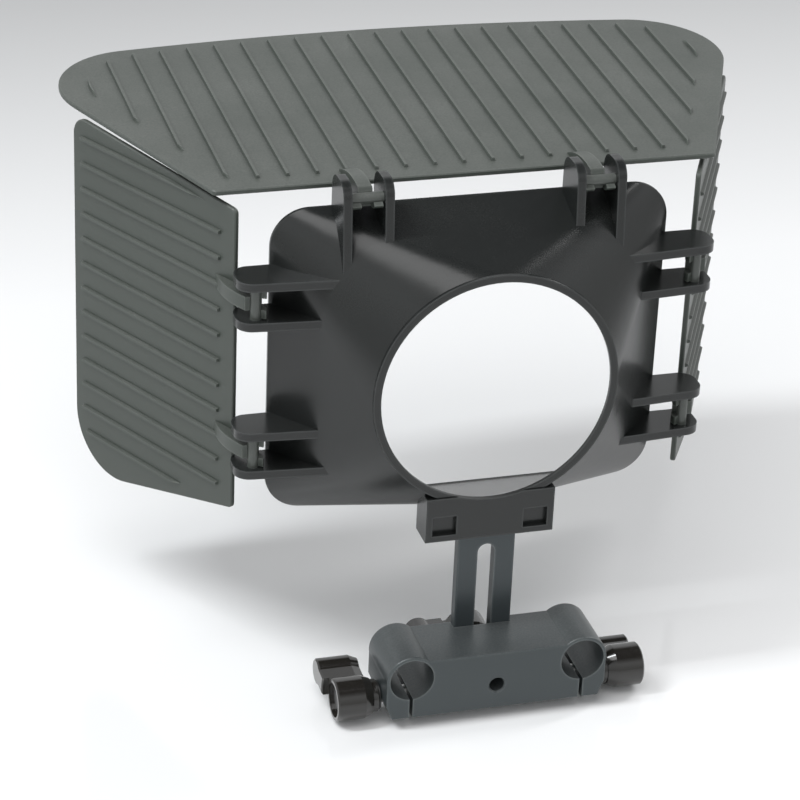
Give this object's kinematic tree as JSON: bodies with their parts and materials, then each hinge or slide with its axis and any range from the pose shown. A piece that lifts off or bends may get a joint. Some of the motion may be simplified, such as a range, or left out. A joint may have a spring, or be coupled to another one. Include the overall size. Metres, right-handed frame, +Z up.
{
  "type": "camera rod mounted lens shade",
  "caption": "Lens shade with three hinged flags on a slotted height post and a clamp for two camera support rods.",
  "frame": {"origin": "midway between the axes of the two rod bores, on the rear face of the rod clamp", "axes": "+Y points forward along the lens axis to the subject, +Z up from the rods to the shade, +X to the right seen from behind the camera"},
  "size_m": [0.2408, 0.1782, 0.1828],
  "materials": {
    "clamp_grey": "dark grey anodised, satin",
    "post_grey": "grey satin coat",
    "shade_plastic": "dark grey satin moulding",
    "flag_plastic": "mid grey satin moulding",
    "pin_plastic": "grey satin",
    "knob_plastic": "glossy black",
    "cap_plastic": "black disc",
    "stud_steel": "zinc plated",
    "screw_steel": "blackened",
    "washer_steel": "plain plated"
  },
  "bodies": {
    "clamp": {"clamp_block": "clamp_grey"},
    "shade": {"post": "post_grey", "shade_body": "shade_plastic", "foot_screws": "screw_steel", "top_hinge_pins": "pin_plastic", "left_hinge_pins": "pin_plastic", "right_hinge_pins": "pin_plastic"},
    "top_flag": {"top_flag": "flag_plastic"},
    "left_flag": {"left_flag": "flag_plastic"},
    "right_flag": {"right_flag": "flag_plastic"},
    "left_washer": {"left_washer": "washer_steel"},
    "left_knob": {"left_knob": "knob_plastic", "left_stud": "stud_steel", "left_cap": "cap_plastic"},
    "right_washer": {"right_washer": "washer_steel"},
    "right_knob": {"right_knob": "knob_plastic", "right_stud": "stud_steel", "right_cap": "cap_plastic"},
    "lock_washer": {"lock_washer": "washer_steel"},
    "lock_knob": {"lock_knob": "knob_plastic", "lock_stud": "stud_steel", "lock_cap": "cap_plastic"}
  },
  "joints": [
    {"name": "height_slide", "type": "slide", "parent": "clamp", "child": "shade", "axis": [0, 0, 1], "range_m": [-0.0345, 0.003]},
    {"name": "top_flag_hinge", "type": "hinge", "parent": "shade", "child": "top_flag", "pos_m": [0, 0.0416, 0.1577], "axis": [1, 0, 0], "range_deg": [0, 80]},
    {"name": "left_flag_hinge", "type": "hinge", "parent": "shade", "child": "left_flag", "pos_m": [-0.07565, 0.0416, 0.0956], "axis": [0, 0, 1], "range_deg": [-37, 50]},
    {"name": "right_flag_hinge", "type": "hinge", "parent": "shade", "child": "right_flag", "pos_m": [0.07565, 0.0416, 0.0956], "axis": [0, 0, -1], "range_deg": [-37, 50]},
    {"name": "left_travel", "type": "slide", "parent": "clamp", "child": "left_washer", "axis": [-1, 0, 0], "range_m": [0, 0.0008]},
    {"name": "left_turn", "type": "hinge", "parent": "left_washer", "child": "left_knob", "pos_m": [-0.0386, 0.01, -0.0106], "axis": [-1, 0, 0], "range_deg": [0, 360.5]},
    {"name": "right_travel", "type": "slide", "parent": "clamp", "child": "right_washer", "axis": [1, 0, 0], "range_m": [0, 0.0008]},
    {"name": "right_turn", "type": "hinge", "parent": "right_washer", "child": "right_knob", "pos_m": [0.0386, 0.01, -0.0106], "axis": [1, 0, 0], "range_deg": [0, 360.5]},
    {"name": "lock_travel", "type": "slide", "parent": "clamp", "child": "lock_washer", "axis": [0, 1, 0], "range_m": [0, 0.0008]},
    {"name": "lock_turn", "type": "hinge", "parent": "lock_washer", "child": "lock_knob", "pos_m": [0, 0.0234, -0.006], "axis": [0, 1, 0], "range_deg": [0, 360.5]}
  ],
  "couplings": [
    {"joint": "left_turn", "follows": "left_travel", "rad_per_m": 7854},
    {"joint": "right_turn", "follows": "right_travel", "rad_per_m": 7854},
    {"joint": "lock_turn", "follows": "lock_travel", "rad_per_m": 7854}
  ]
}
